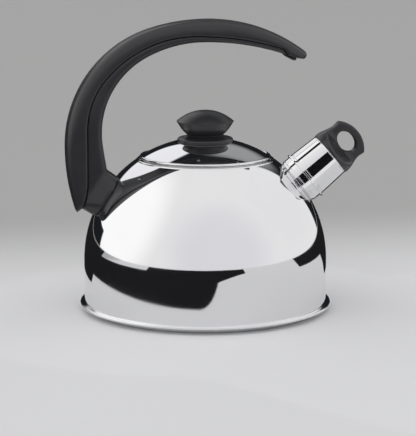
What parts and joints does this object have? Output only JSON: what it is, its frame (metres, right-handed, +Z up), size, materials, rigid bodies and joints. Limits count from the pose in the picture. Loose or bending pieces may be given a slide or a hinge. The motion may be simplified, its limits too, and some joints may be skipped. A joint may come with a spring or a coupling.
{
  "type": "stovetop whistling kettle",
  "caption": "Domed steel stovetop kettle with a lift-off lid, a rear-rooted C-shaped handle and a pull-off whistle cap on an angled spout.",
  "frame": {"origin": "centre of the flat underside the kettle stands on, on the body's vertical axis", "axes": "+Z up along the body's axis, +X towards the spout and whistle, the handle's root at -X; XZ is the plane of symmetry of body, handle and spout"},
  "size_m": [0.2517, 0.21, 0.2422],
  "materials": {
    "polished_steel": "mirror polished",
    "plain_steel": "plain, lightly brushed",
    "black_plastic": "satin",
    "core_aluminium": "plain",
    "brass": "plain"
  },
  "bodies": {
    "kettle": {"body_shell": "polished_steel", "mouth_ring": "polished_steel", "spout_tube": "plain_steel", "base_pan": "polished_steel", "heat_core": "core_aluminium", "base_cover": "plain_steel", "handle_shell": "black_plastic", "handle_insert": "black_plastic", "handle_bracket": "plain_steel", "foot_screw": "plain_steel", "handle_screws": "plain_steel"},
    "lid": {"lid_dome": "polished_steel", "lid_skirt": "plain_steel", "knob_base": "black_plastic", "knob_cap": "black_plastic", "knob_insert": "brass", "knob_washer": "plain_steel", "knob_screw": "plain_steel"},
    "whistle": {"whistle_sleeve": "polished_steel", "whistle_head": "black_plastic", "whistle_outer_plate": "plain_steel", "whistle_spacer": "plain_steel", "whistle_inner_plate": "plain_steel", "whistle_retaining_ring": "plain_steel", "whistle_spring": "plain_steel"}
  },
  "joints": [
    {"name": "lid_lift", "type": "slide", "parent": "kettle", "child": "lid", "axis": [0, 0, 1], "range_m": [0, 0.05]},
    {"name": "whistle_pull", "type": "slide", "parent": "kettle", "child": "whistle", "axis": [0.7727, 0, 0.6347], "range_m": [0, 0.045]}
  ]
}
